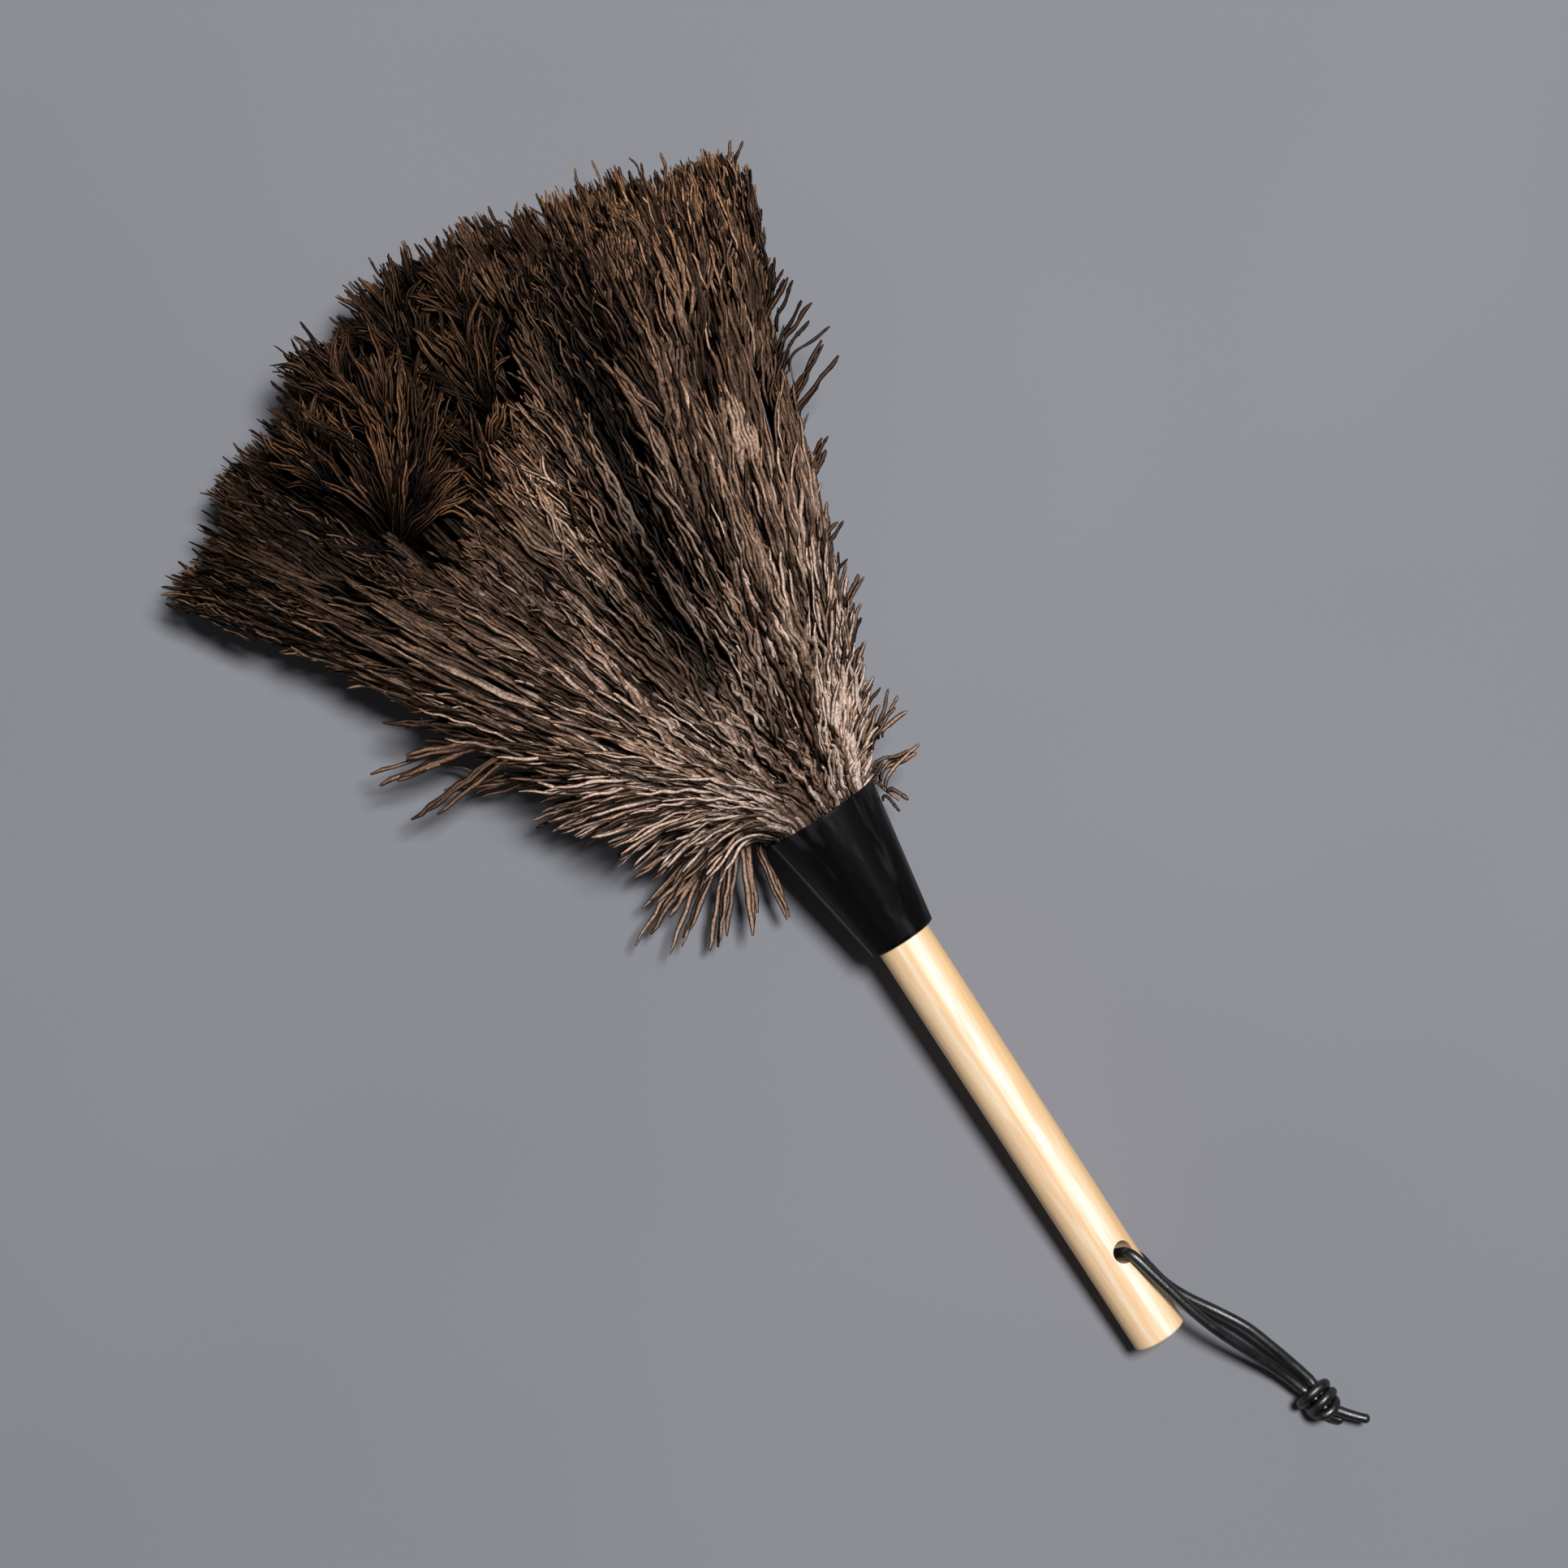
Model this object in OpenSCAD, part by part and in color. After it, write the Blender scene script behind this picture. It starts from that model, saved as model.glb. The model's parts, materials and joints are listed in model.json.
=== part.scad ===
// Feather duster: a wooden handle, a tapered collar, three plies of ostrich feathers bound
// to the end of the handle inside the collar, and a leather thong to hang the duster by.
// It lies on a surface at z = 0, with its butt towards -X and its feathers towards +X.

/* [Handle] */
// Diameter of the wooden handle
handle_d = 22; // [20:0.5:24]
// Length of the handle from its butt to the collar
grip_l = 185; // [150:1:220]
// Radius of the rounded edge of the butt
butt_round = 1.2; // [0.5:0.1:3]
// Length of full-size handle that goes into the collar
shoulder_l = 8; // [7:0.5:9]
// Diameter of the spigot that the quills are bound round
spigot_d = 15; // [13:0.5:15]
// Length of the spigot
spigot_l = 32; // [30:1:40]

/* [Hang hole] */
// Diameter of the hole drilled across the handle
hole_d = 9; // [6:0.5:10]
// Distance of the hole's axis from the butt
hole_from_butt = 37.5; // [36:0.5:39]
// Turn of the hole about the handle, from upright towards -Y, in degrees
hole_turn = 31; // [29:1:33]

/* [Collar] */
// Outer diameter of the collar at the end that grips the handle
collar_narrow_d = 28; // [26:0.5:30]
// Outer diameter of the collar at its mouth
collar_mouth_d = 48; // [47:0.5:54]
// Length of the collar
collar_l = 58.5; // [55:0.5:65]
// Thickness of the collar's wall
collar_wall = 1.1; // [0.8:0.1:1.2]
// Length of the turned-in hem that grips the handle
hem_l = 6; // [4:0.5:6.5]

/* [Bindings] */
// Diameter of the waxed twine that binds the quills
twine_d = 0.8; // [0.6:0.1:0.8]
// Number of turns in each binding
twine_turns = 7; // [4:1:7]

/* [Feathers] */
// Feathers in the inner ply
inner_count = 9; // [5:1:12]
// Feathers in the middle ply
middle_count = 14; // [8:1:18]
// Feathers in the outer ply
outer_count = 18; // [12:1:22]
// Diameter of a quill
quill_d = 2.2; // [1.6:0.1:2.2]
// Share of its own place in the ply that a feather's vane fills
vane_fill = 0.86; // [0.6:0.02:0.88]
// Thickness of a vane at its middle
vane_t = 3.2; // [2:0.2:5]

/* [Lay] */
// Pitch of the handle, feather end up, in degrees
pitch = 4.5; // [4.3:0.1:4.7]
// Height of the butt's edge above the surface, where the handle rests on the thong
butt_lift = 2.6; // [2.5:0.1:3]

/* [Thong] */
// Diameter of the leather thong
thong_d = 4.2; // [3:0.1:4.2]
// Outer diameter of the overhand knot
knot_d = 16; // [14:0.5:17]
// Length of the knot
knot_l = 14; // [12:0.5:15]

/* [Hidden] */
ply_names = ["inner", "middle", "outer"];
ply_count = [inner_count, middle_count, outer_count];
ply_colors = ["#4a3a30", "#5f4d41", "#8a7668"];

$fn = 48;
handle_r = handle_d / 2;
collar_x = grip_l * cos(pitch);
hem_gap = 0.05;

// The lowest point of the rounded butt stands butt_lift above the surface.
butt_axis_z = butt_lift + butt_round + (handle_r - butt_round) * cos(pitch) - butt_round * sin(pitch);
// The origin is the middle of the footprint without the thong, so the model moves by this much.
footprint_shift = [-256, -28, 0];

// Ply by ply, from the inside out: radius of the ring of quills at the binding, where the
// quills start, where the binding starts, the share of the head's radius that they fan out to
// and the angle of the first feather
binding_gap = 0.1;
quill_gap = 0.15;
ply_step = quill_d + twine_d + binding_gap + quill_gap;
ply_r = [for (ply = [0:2]) spigot_d / 2 + quill_gap + quill_d / 2 + ply * ply_step];
quill_start = [10, 20, 30];
binding_start = [12, 22, 32];
ply_share = [0.30, 0.62, 0.885];
ply_phase = [10, 4, 0];
// Distance between two turns of a binding, in diameters of the twine
twine_nesting = 0.92;
// The quills lie straight beside the spigot and spread from just past its end
spread_from = shoulder_l + spigot_l + 0.6;

// Distances from the narrow end of the collar at which every feather has a ring
bundle_r = 22;
quill_stations = [spread_from, collar_l];
vane_stations = [85, 115, 145, 175, 205, 235, 265, 290];
ring_sides = 8;
ring_gap = 4;
tip_l = 14;
tip_share = 0.4;

// The head's shape against the distance from the collar's narrow end: the direction of its
// middle and half its spread in degrees, then its middle height, rise and drop in millimetres
fan_turn = [[58, 0], [85, 3], [115, 4.5], [325, 5.5]];
fan_half = [[58, 20.6], [85, 26], [115, 28.5], [325, 28.5]];
mid_z = [[58, 34.5], [90, 36.5], [150, 38], [210, 38], [270, 34], [325, 29]];
rise = [[58, 22], [90, 38], [130, 53], [180, 62], [230, 60], [280, 45], [325, 20]];
drop = [[58, 22], [90, 31], [120, 37.6], [210, 38.3], [270, 34.2], [325, 23]];
// Share of the full width and thickness that a vane has along its length
vane_growth = [[58, 0], [85, 0.55], [115, 0.9], [145, 1], [325, 1]];

// Where feathers end: at the middle of the head and at its sides, ply by ply
end_mid = [322, 304, 282];
end_side = [318, 312, 306];
end_scatter = 5;
scatter_turn = 137;

// The thong's route, from the knot over the handle, through the hole and back under the
// handle to the knot
thong_r = thong_d / 2;
thong_sides = 8;
route_steps = 2;
thong_route = [
    [-49, -35, 8.5], [-40, -32, 10], [-30, -28, 14], [-20, -23.8, 18.5], [-8, -19, 22.8], [4, -15.2, 25.8],
    [15, -12.5, 27.4], [24, -10.3, 28], [30, -8.9, 28], [34, -7.7, 27.5], [36, -6.3, 26.2],
    [36.7, -4.5, 23.9], [37.1, -2, 19.7], [37.4, 0, 16.4], [37.6, 2, 13.2], [37.9, 4.1, 9.6],
    [38.1, 5.6, 6.9], [37.8, 6.1, 4.7], [36.8, 5, 3.1], [35.4, 2.3, 2.4], [33.8, -1.5, 2.3],
    [32, -6, 2.4], [29, -9.4, 3], [23, -10.8, 4.4], [15, -12.6, 6.8], [6, -16.8, 10], [-5, -23.8, 12.8],
    [-16, -29.9, 13.2], [-28, -34, 11.8], [-38, -37, 9.6], [-47.5, -39.5, 8.5]
];
knot_at = [-56, -38, 8.4];
knot_turn = 17;
knot_round = 3.8;
long_tail = [[-62, -41, 8], [-66, -44, 8], [-70, -47.5, 8.5], [-73, -50.5, 8.5]];
short_tail = [[-61, -38, 4.5], [-64.5, -38.5, 3.2], [-67, -40, 2.6], [-69, -42, 2.5]];

function feather_name(ply, i) = str(ply_names[ply], "_feather_", i < 10 ? "0" : "", i);

// Height of the handle's axis at a distance from the butt along X
function axis_z(x) = butt_axis_z + x * tan(pitch);

// A point of the feather head: s along it from the collar's narrow end, share of its radius
// from the middle outwards, and angle about the middle, 0 towards +Y and 90 upwards
function in_bundle(s, share, angle) =
    [collar_x + s, bundle_r * share * cos(angle), axis_z(collar_x + s) + bundle_r * share * sin(angle)];
function half_height(s, angle) = lookup(s, sin(angle) > 0 ? rise : drop);
function in_fan(s, share, angle) =
    let (turn = lookup(s, fan_turn) + lookup(s, fan_half) * share * cos(angle))
    [collar_x + s * cos(turn), s * sin(turn), lookup(s, mid_z) + half_height(s, angle) * share * sin(angle)];
function head_point(s, share, angle) = s <= collar_l ? in_bundle(s, share, angle) : in_fan(s, share, angle);

// Share of the radius that a ply keeps to: its own ring at the binding, its fan share beyond
function share_at(ply, s) =
    lookup(s, [[spread_from, ply_r[ply] / bundle_r], [collar_l, ply_share[ply]]]);

function feather_end(ply, angle, i) =
    end_mid[ply] + (end_side[ply] - end_mid[ply]) * abs(cos(angle)) + end_scatter * sin(i * scatter_turn);

// Half sizes of a feather's ring: in degrees round the head and in share of its radius
function quill_half(ply, s) =
    let (share = share_at(ply, s))
    [quill_d / 2 / (bundle_r * share) * 180 / PI, quill_d / 2 / bundle_r];
function head_radius(s, angle) =
    norm([s * lookup(s, fan_half) * PI / 180 * cos(angle), half_height(s, angle) * sin(angle)]);
function vane_half(ply, s, angle) =
    let (grown = lookup(s, vane_growth))
    [
        quill_half(ply, collar_l)[0] * (1 - grown) + vane_fill * 180 / ply_count[ply] * grown,
        (quill_d * (1 - grown) + vane_t * grown) / 2 / head_radius(s, angle)
    ];
function ring_half(ply, s, angle) = s <= collar_l ? quill_half(ply, s) : vane_half(ply, s, angle);

function feather_ring(ply, s, angle, scale_by) =
    let (half = ring_half(ply, s, angle) * scale_by)
    [for (j = [0:ring_sides - 1])
        let (a = 360 * j / ring_sides)
        head_point(s, share_at(ply, s) + half[1] * sin(a), angle + half[0] * cos(a))];

// Faces of a closed tube of rings, with flat ends
function tube_faces(rings, sides) = concat(
    [[for (j = [0:sides - 1]) j]],
    [for (r = [0:rings - 2]) for (j = [0:sides - 1])
        [r * sides + j, (r + 1) * sides + j, r * sides + (j + 1) % sides]],
    [for (r = [0:rings - 2]) for (j = [0:sides - 1])
        [(r + 1) * sides + j, (r + 1) * sides + (j + 1) % sides, r * sides + (j + 1) % sides]],
    [[for (j = [sides - 1:-1:0]) (rings - 1) * sides + j]]
);

// Points of a smooth line through a route, with steps parts to each stretch
function route_point(route, i) = route[min(max(i, 0), len(route) - 1)];
function spline(a, b, c, d, t) =
    0.5 * (2 * b + (c - a) * t + (2 * a - 5 * b + 4 * c - d) * t * t + (3 * b - a - 3 * c + d) * t * t * t);
function smooth_route(route, steps) = concat(
    [for (i = [0:len(route) - 2]) for (k = [0:steps - 1])
        spline(route_point(route, i - 1), route[i], route[i + 1], route_point(route, i + 2), k / steps)],
    [route[len(route) - 1]]
);
function unit(v) = v / norm(v);
function direction(line, i) = unit(route_point(line, i + 1) - route_point(line, i - 1));

// A side vector carried along the line without twisting
function side_vectors(line, i = 0, side = [0, 0, 1]) =
    i >= len(line) ? [] :
    let (t = direction(line, i), level = unit(side - (side * t) * t))
    concat([level], side_vectors(line, i + 1, level));

module sweep_round(route, radius, sides) {
    line = smooth_route(route, route_steps);
    ups = side_vectors(line);
    points = [for (i = [0:len(line) - 1]) for (j = [0:sides - 1])
        let (t = direction(line, i), a = 360 * j / sides)
        line[i] + radius * (cos(a) * ups[i] + sin(a) * cross(t, ups[i]))];
    polyhedron(points, tube_faces(len(line), sides));
}

// Moves children from a frame with its X axis along the handle from the butt to where it lies
module along_handle() {
    translate([0, 0, butt_axis_z])
        rotate([0, -pitch, 0])
            children();
}

module placed() {
    translate(footprint_shift)
        children();
}

// Profile of the full-size stretch of the handle, from the butt upwards
module grip_profile() {
    square([handle_r - butt_round, grip_l + shoulder_l]);
    translate([0, butt_round])
        square([handle_r, grip_l + shoulder_l - butt_round]);
    translate([handle_r - butt_round, butt_round])
        circle(butt_round);
}

module hang_hole() {
    translate([hole_from_butt, 0, 0])
        rotate([hole_turn, 0, 0])
            cylinder(h = 2 * handle_d, d = hole_d, center = true);
}

module handle() {
    color("burlywood") placed() along_handle()
        difference() {
            rotate([0, 90, 0]) {
                rotate_extrude()
                    grip_profile();
                cylinder(h = grip_l + shoulder_l + spigot_l, d = spigot_d);
            }
            hang_hole();
        }
}

// The collar's wall, drawn from its narrow end upwards
module collar_profile() {
    narrow_r = collar_narrow_d / 2;
    mouth_r = collar_mouth_d / 2;
    hem_top_r = narrow_r + (mouth_r - narrow_r) * hem_l / collar_l;
    polygon([
        [handle_r + hem_gap, 0],
        [narrow_r, 0],
        [mouth_r, collar_l],
        [mouth_r - collar_wall, collar_l],
        [hem_top_r - collar_wall, hem_l],
        [handle_r + hem_gap, hem_l]
    ]);
}

module collar() {
    color("#1b1a1b") placed() along_handle()
        translate([grip_l, 0, 0])
            rotate([0, 90, 0])
                rotate_extrude()
                    collar_profile();
}

// A binding of twine wound side by side round one ply of quills
module binding(ply) {
    inside_r = ply_r[ply] + quill_d / 2 + binding_gap;
    color("tan") placed() along_handle()
        translate([grip_l + binding_start[ply], 0, 0])
            rotate([0, 90, 0])
                rotate_extrude()
                    for (turn = [0:twine_turns - 1])
                        translate([inside_r + twine_d / 2, turn * twine_nesting * twine_d])
                            circle(d = twine_d);
}

module inner_binding() {
    binding(0);
}

module middle_binding() {
    binding(1);
}

module outer_binding() {
    binding(2);
}

module feather(ply, i) {
    angle = ply_phase[ply] + 360 * (i - 1) / ply_count[ply];
    last = feather_end(ply, angle, i);
    vane = [for (s = vane_stations) if (s < last - tip_l - ring_gap) s];
    stations = concat([quill_start[ply]], quill_stations, vane, [last - tip_l]);
    rings = concat(
        [for (s = stations) feather_ring(ply, s, angle, 1)],
        [feather_ring(ply, last, angle, tip_share)]
    );
    points = [for (ring = rings) for (p = ring) p];
    color(ply_colors[ply]) placed()
        polyhedron(points, tube_faces(len(rings), ring_sides));
}

module thong() {
    color("#222021") placed()
        sweep_round(thong_route, thong_r, thong_sides);
}

module thong_knot() {
    color("#222021") placed()
        translate(knot_at)
            rotate([0, 0, knot_turn])
                rotate([0, 90, 0])
                    translate([0, 0, -knot_l / 2])
                        rotate_extrude() {
                            square([knot_d / 2 - knot_round, knot_l]);
                            translate([0, knot_round])
                                square([knot_d / 2, knot_l - 2 * knot_round]);
                            for (z = [knot_round, knot_l - knot_round])
                                translate([knot_d / 2 - knot_round, z])
                                    circle(knot_round);
                        }
}

module thong_tails() {
    color("#222021") placed()
        for (tail = [long_tail, short_tail])
            sweep_round(tail, thong_r, thong_sides);
}

handle();
collar();
inner_binding();
middle_binding();
outer_binding();
for (ply = [0:2])
    for (i = [1:ply_count[ply]])
        feather(ply, i);
thong();
thong_knot();
thong_tails();
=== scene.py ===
"""Looks of the feather duster: plumes of barb strands, leathercloth collar, wooden handle, leather thong."""

import json
import math

import bpy
import numpy as np
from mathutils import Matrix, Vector


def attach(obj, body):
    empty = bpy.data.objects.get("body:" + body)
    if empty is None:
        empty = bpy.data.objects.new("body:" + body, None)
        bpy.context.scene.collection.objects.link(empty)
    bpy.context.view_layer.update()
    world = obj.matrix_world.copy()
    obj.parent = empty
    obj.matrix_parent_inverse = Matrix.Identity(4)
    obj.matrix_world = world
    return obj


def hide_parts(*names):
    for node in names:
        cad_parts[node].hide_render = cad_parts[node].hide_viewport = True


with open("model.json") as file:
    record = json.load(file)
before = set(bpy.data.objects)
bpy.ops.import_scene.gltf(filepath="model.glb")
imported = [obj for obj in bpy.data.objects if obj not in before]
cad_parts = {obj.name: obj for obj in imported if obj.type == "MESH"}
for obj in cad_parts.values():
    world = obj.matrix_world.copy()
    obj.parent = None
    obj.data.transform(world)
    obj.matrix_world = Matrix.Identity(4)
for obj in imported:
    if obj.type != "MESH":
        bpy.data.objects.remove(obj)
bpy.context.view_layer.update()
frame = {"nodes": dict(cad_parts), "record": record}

MM = 0.001

# The design's own frame, in millimetres: the middle of the butt at x = 0, the floor at z = 0
BUTT = next(m for m in frame["record"]["mounts"] if m["name"] == "butt_face")
HANDLE_AXIS = -np.array(BUTT["axis"])
BUTT_AT = np.array(BUTT["pos_m"])
ORIGIN = BUTT_AT * [1, 1, 0]
PITCH = math.asin(HANDLE_AXIS[2])

# Sizes that part.scad gives, in millimetres and degrees
GRIP_L = 185
COLLAR_L = 58.5
COLLAR_NARROW_R = 14
COLLAR_MOUTH_R = 24
COLLAR_WALL = 1.1
HEM_L = 6
HANDLE_R = 11
COLLAR_X = GRIP_L * math.cos(PITCH)
BUNDLE_R = 22
SPREAD_FROM = 40.6
PLY_NAMES = ["inner", "middle", "outer"]
PLY_COUNT = [9, 14, 18]
PLY_R = [8.75, 12.0, 15.25]
PLY_SHARE = [0.30, 0.62, 0.885]
PLY_PHASE = [10, 4, 0]
QUILL_START = [10, 20, 30]
FAN_TURN = [(58, 0), (85, 3), (115, 4.5), (325, 5.5)]
FAN_HALF = [(58, 20.6), (85, 26), (115, 28.5), (325, 28.5)]
MID_Z = [(58, 34.5), (90, 36.5), (150, 38), (210, 38), (270, 34), (325, 29)]
RISE = [(58, 22), (90, 38), (130, 53), (180, 62), (230, 60), (280, 45), (325, 20)]
DROP = [(58, 22), (90, 31), (120, 37.6), (210, 38.3), (270, 34.2), (325, 23)]
END_MID = [322, 304, 282]
END_SIDE = [318, 312, 306]
END_SCATTER = 5
SCATTER_TURN = 137

# The thong's route, from its upper strand through the hang hole to its lower one, and its knot and tails,
# from part.scad
THONG_R = 2.1
THONG_ROUTE = [
    (-49, -35, 8.5), (-40, -32, 10), (-30, -28, 14), (-20, -23.8, 18.5), (-8, -19, 22.8), (4, -15.2, 25.8),
    (15, -12.5, 27.4), (24, -10.3, 28), (30, -8.9, 28), (34, -7.7, 27.5), (36, -6.3, 26.2),
    (36.7, -4.5, 23.9), (37.1, -2, 19.7), (37.4, 0, 16.4), (37.6, 2, 13.2), (37.9, 4.1, 9.6),
    (38.1, 5.6, 6.9), (37.8, 6.1, 4.7), (36.8, 5, 3.1), (35.4, 2.3, 2.4), (33.8, -1.5, 2.3),
    (32, -6, 2.4), (29, -9.4, 3), (23, -10.8, 4.4), (15, -12.6, 6.8), (6, -16.8, 10), (-5, -23.8, 12.8),
    (-16, -29.9, 13.2), (-28, -34, 11.8), (-38, -37, 9.6), (-47.5, -39.5, 8.5),
]
# The route's point in the middle of the hole
HOLE_MIDDLE = 13
KNOT_AT = (-56, -38, 8.4)
KNOT_TURN = 17
LONG_TAIL = [(-62, -41, 8), (-66, -44, 8), (-70, -47.5, 8.5), (-73, -50.5, 8.5)]
SHORT_TAIL = [(-61, -38, 4.5), (-64.5, -38.5, 3.2), (-67, -40, 2.6), (-69, -42, 2.5)]


def to_row(points):
    """Points of the design frame in millimetres, in the row frame in metres."""
    return np.asarray(points, float) * MM + ORIGIN


def lookup(x, table):
    """The value at x in a table of (x, value) points, straight between them."""
    xs, ys = zip(*table)
    return np.interp(x, xs, ys)


def smooth_step(x, low, high):
    """0 below low, 1 above high, and a soft rise between them."""
    t = np.clip((x - low) / (high - low), 0, 1)
    return t * t * (3 - 2 * t)


def unit(v):
    """Vectors scaled to a length of 1."""
    return v / np.maximum(np.linalg.norm(v, axis=-1, keepdims=True), 1e-9)


def across_and_up(lines, outward):
    """Two unit vectors at each point of lines, square to the line: one square to outward, one towards it."""
    along = unit(np.gradient(lines, axis=-2))
    across = unit(np.cross(along, outward))
    return across, np.cross(across, along)


def new_object(name, data):
    """An object in the scene that shows data."""
    made = bpy.data.objects.new(name, data)
    bpy.context.scene.collection.objects.link(made)
    return made


# ---------------------------------------------------------------- materials


def linear(srgb):
    """A display colour, 0 to 255, as the linear colour that shaders use."""
    return [((c / 255 + 0.055) / 1.055) ** 2.4 if c > 10 else c / 255 / 12.92 for c in srgb] + [1]


class Look:
    """A material under construction: a Principled shader and short calls for the nodes that feed it."""

    def __init__(self, name, **constants):
        self.material = bpy.data.materials.new(name)
        self.material.use_nodes = True
        self.tree = self.material.node_tree
        self.shader = self.tree.nodes["Principled BSDF"]
        for socket, value in constants.items():
            self.shader.inputs[socket.replace("_", " ")].default_value = value

    def node(self, kind, settings=(), **inputs):
        """A new node with its settings and inputs. An input named _0 is the one with the number 0."""
        made = self.tree.nodes.new("ShaderNode" + kind)
        for name, value in dict(settings).items():
            setattr(made, name, value)
        for name, value in inputs.items():
            key = int(name[1:]) if name[0] == "_" and name[1:].isdigit() else name.replace("_", " ")
            self.feed(made.inputs[key], value)
        return made

    def feed(self, socket, value):
        if isinstance(value, bpy.types.NodeSocket):
            self.tree.links.new(value, socket)
        else:
            socket.default_value = value

    def set(self, **inputs):
        for name, value in inputs.items():
            self.feed(self.shader.inputs[name.replace("_", " ")], value)

    def place(self, scale, turn=(0, 0, 0)):
        """Object coordinates, turned and scaled."""
        at = self.node("TexCoord").outputs["Object"]
        return self.node("Mapping", Vector=at, Rotation=turn, Scale=scale).outputs[0]

    def noise(self, at, scale, detail, rough):
        return self.node("TexNoise", Vector=at, Scale=scale, Detail=detail, Roughness=rough).outputs["Fac"]

    def ramp(self, fac, stops):
        made = self.node("ValToRGB", Fac=fac)
        elements = made.color_ramp.elements
        while len(elements) < len(stops):
            elements.new(0.5)
        for element, (at, colour) in zip(elements, stops):
            element.position = at
            element.color = linear(colour)
        return made.outputs["Color"]

    def levels(self, fac, low, high, to_low=0.0, to_high=1.0):
        made = self.node("MapRange", Value=fac)
        for name, value in (("From Min", low), ("From Max", high), ("To Min", to_low), ("To Max", to_high)):
            made.inputs[name].default_value = value
        return made.outputs[0]

    def mix(self, fac, a, b, blend="MIX"):
        made = self.node("Mix", {"data_type": "RGBA", "blend_type": blend})
        self.feed(made.inputs[0], fac)
        self.feed(made.inputs[6], a)
        self.feed(made.inputs[7], b)
        return made.outputs[2]

    def bump(self, height, strength, distance):
        made = self.node("Bump", Strength=strength, Distance=distance, Height=height)
        self.set(Normal=made.outputs[0])


def wood_look():
    """Pale dowel, cut along the grain: broad streaks and fine lines that run its whole length, a painted
    highlight stripe along its top, satin.
    """
    look = Look("pale_wood", Coat_Weight=0.12, Coat_Roughness=0.30)
    turn = (0, PITCH, 0)
    drift = look.noise(look.place((4, 40, 40), turn), 1.0, 2, 0.5)
    fine = look.noise(look.place((9, 620, 620), turn), 1.0, 4, 0.6)
    stripe = look.noise(look.place((2, 230, 230), turn), 1.0, 1, 0.4)
    side = look.node("SeparateXYZ", Vector=look.place((1, 1, 1))).outputs["Y"]
    across = look.levels(side, BUTT_AT[1] - HANDLE_R * MM, BUTT_AT[1] + HANDLE_R * MM)
    wander = look.levels(drift, 0.3, 0.7, -0.09, 0.09)
    shifted = look.node("Math", {"operation": "ADD"}, _0=across, _1=wander).outputs[0]
    # Across the handle in plan: wood bands, and at 0.36, a little towards the key light's side, a near-white
    # stripe that is a painted highlight
    grain_and_highlight = look.ramp(shifted, [
        (0.00, (250, 214, 158)), (0.15, (246, 206, 156)), (0.26, (251, 228, 196)),
        (0.36, (255, 246, 232)), (0.48, (252, 230, 200)), (0.555, (243, 200, 152)),
        (0.66, (252, 230, 200)), (0.80, (250, 214, 168)), (1.00, (250, 212, 162)),
    ])
    striped = look.mix(look.levels(stripe, 0.52, 0.58, 0.0, 0.42), grain_and_highlight, linear((238, 186, 132)))
    look.set(Base_Color=look.mix(look.levels(fine, 0.36, 0.60, 0.34, 0.0), striped, linear((222, 172, 118))))
    look.set(Roughness=look.levels(fine, 0.35, 0.7, 0.50, 0.36))
    look.bump(look.levels(fine, 0.40, 0.62, 0.80, 1.0), 0.25, 0.0002)
    return look.material


def leathercloth_look():
    """Black coated cloth: a soft sheen, a few faint long streaks painted paler as sheen, a pebbled surface
    and a pale line along the seam that is a painted rim highlight.
    """
    look = Look("black_leathercloth", Specular_IOR_Level=0.15)
    turn = (0, PITCH, 0)
    streak = look.noise(look.place((5, 130, 130), turn), 1.0, 2, 0.5)
    pebble = look.node("TexVoronoi", Vector=look.place((1, 1, 1), turn), Scale=1500.0).outputs["Distance"]
    # The paler streaks of this ramp are painted sheen; the same streaks also make the cloth glossier
    black_with_sheen = look.ramp(streak, [(0.40, (2, 2, 2)), (0.55, (5, 4, 5)), (0.66, (33, 30, 33))])
    # A pale line along the seam's edge, painted as a rim highlight
    edge = look.node("VertexColor", {"layer_name": "seam_rim_highlight"}).outputs["Color"]
    look.set(Base_Color=look.mix(edge, black_with_sheen, linear((178, 180, 188))))
    look.set(Roughness=look.levels(streak, 0.35, 0.7, 0.52, 0.38))
    look.bump(pebble, 0.18, 0.0002)
    return look.material


def twine_look():
    """Waxed linen twine with the slant of its lay."""
    look = Look("waxed_twine")
    at = look.place((1, 1, 1))
    lay = look.node("TexWave", {"bands_direction": "DIAGONAL"}, Vector=at, Scale=700.0, Distortion=1.0)
    colour = look.ramp(lay.outputs["Fac"], [(0.2, (150, 122, 84)), (0.7, (205, 181, 140))])
    look.set(Base_Color=colour, Roughness=look.levels(lay.outputs["Fac"], 0, 1, 0.75, 0.55))
    look.bump(lay.outputs["Fac"], 0.5, 0.0003)
    return look.material


def thong_look():
    """Black leather lace, a little greenish, shinier in patches, with a fine uneven grain; its paler greenish
    patches are partly painted sheen.
    """
    look = Look("black_thong_leather", Specular_IOR_Level=1.0)
    patch = look.noise(look.place((1, 1, 1)), 180.0, 3, 0.6)
    grain = look.noise(look.place((1, 1, 1)), 900.0, 3, 0.65)
    # The paler greenish patches are partly the leather's own colour and partly painted sheen
    look.set(Base_Color=look.ramp(patch, [(0.35, (3, 5, 4)), (0.55, (10, 13, 12)), (0.75, (27, 33, 30))]))
    look.set(Roughness=look.levels(patch, 0.3, 0.7, 0.34, 0.46))
    look.bump(grain, 0.35, 0.0003)
    return look.material


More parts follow.
